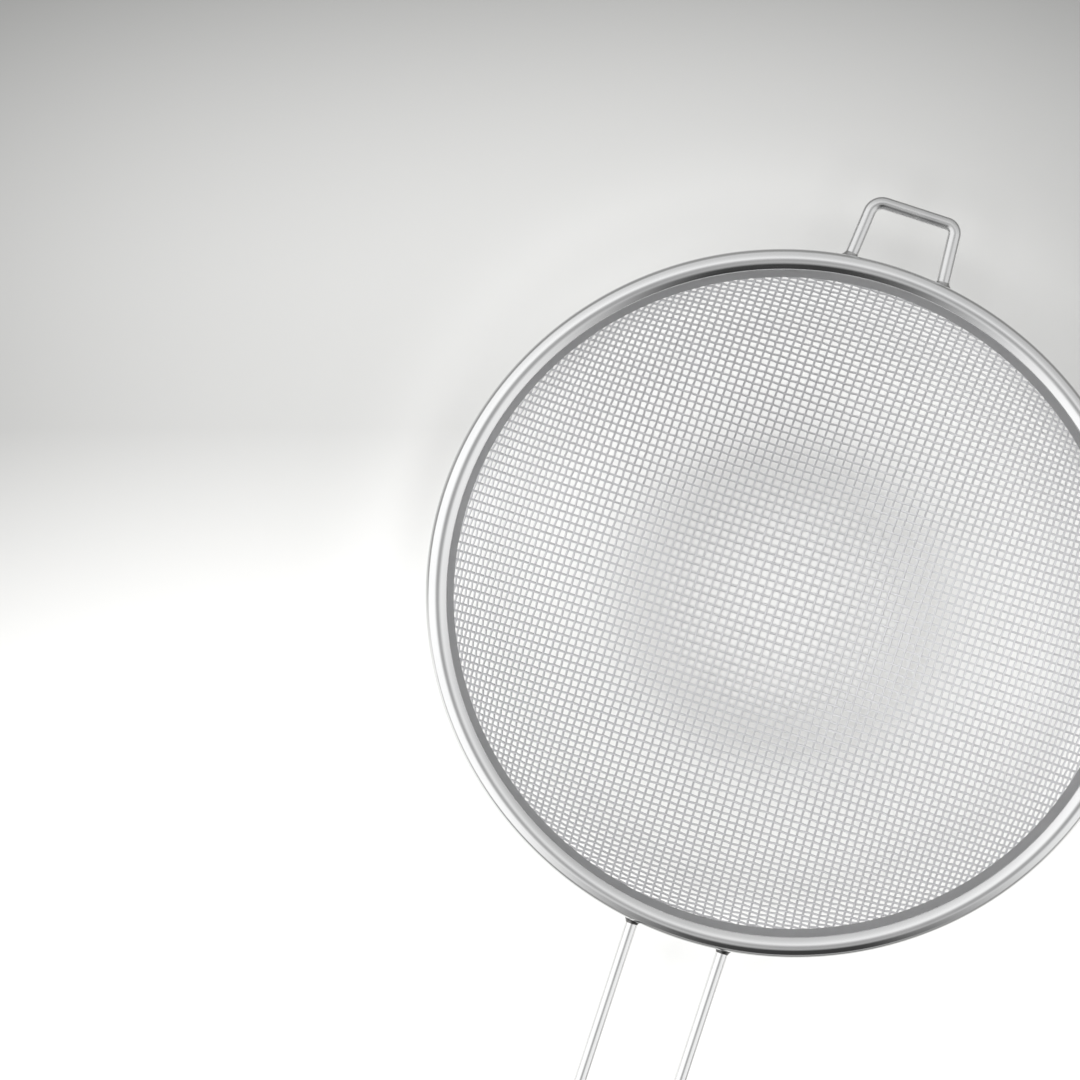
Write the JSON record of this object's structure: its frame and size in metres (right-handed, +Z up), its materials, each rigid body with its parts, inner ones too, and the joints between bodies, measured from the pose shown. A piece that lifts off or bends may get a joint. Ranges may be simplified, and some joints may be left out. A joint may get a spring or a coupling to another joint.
{
  "type": "kitchen sieve",
  "caption": "Round kitchen sieve: woven wire bowl clamped in a rolled steel rim, with a bent wire hook in front to rest it across a pot and a long hairpin wire handle behind.",
  "frame": {"origin": "middle of the bounding box's underside, level with the lowest crossing of the bowl, so that the sieve stands on the plane z = 0 with its rim level", "axes": "+Z up through the mouth of the bowl, +Y from the handle to the front hook, +X across"},
  "size_m": [0.16, 0.3204, 0.065],
  "materials": {
    "rim_steel": "bright polished strip",
    "core_steel": "plain drawn wire, hidden",
    "mesh_steel": "fine woven wire",
    "wire_steel": "bright drawn wire",
    "weld_steel": "dull weld metal"
  },
  "bodies": {
    "root": {"rim_band": "rim_steel", "rim_core_wire": "core_steel", "mesh_bowl": "mesh_steel", "front_hook": "wire_steel", "handle_wire": "wire_steel", "weld_hook_left": "weld_steel", "weld_hook_right": "weld_steel", "weld_handle_left": "weld_steel", "weld_handle_right": "weld_steel"}
  },
  "joints": []
}
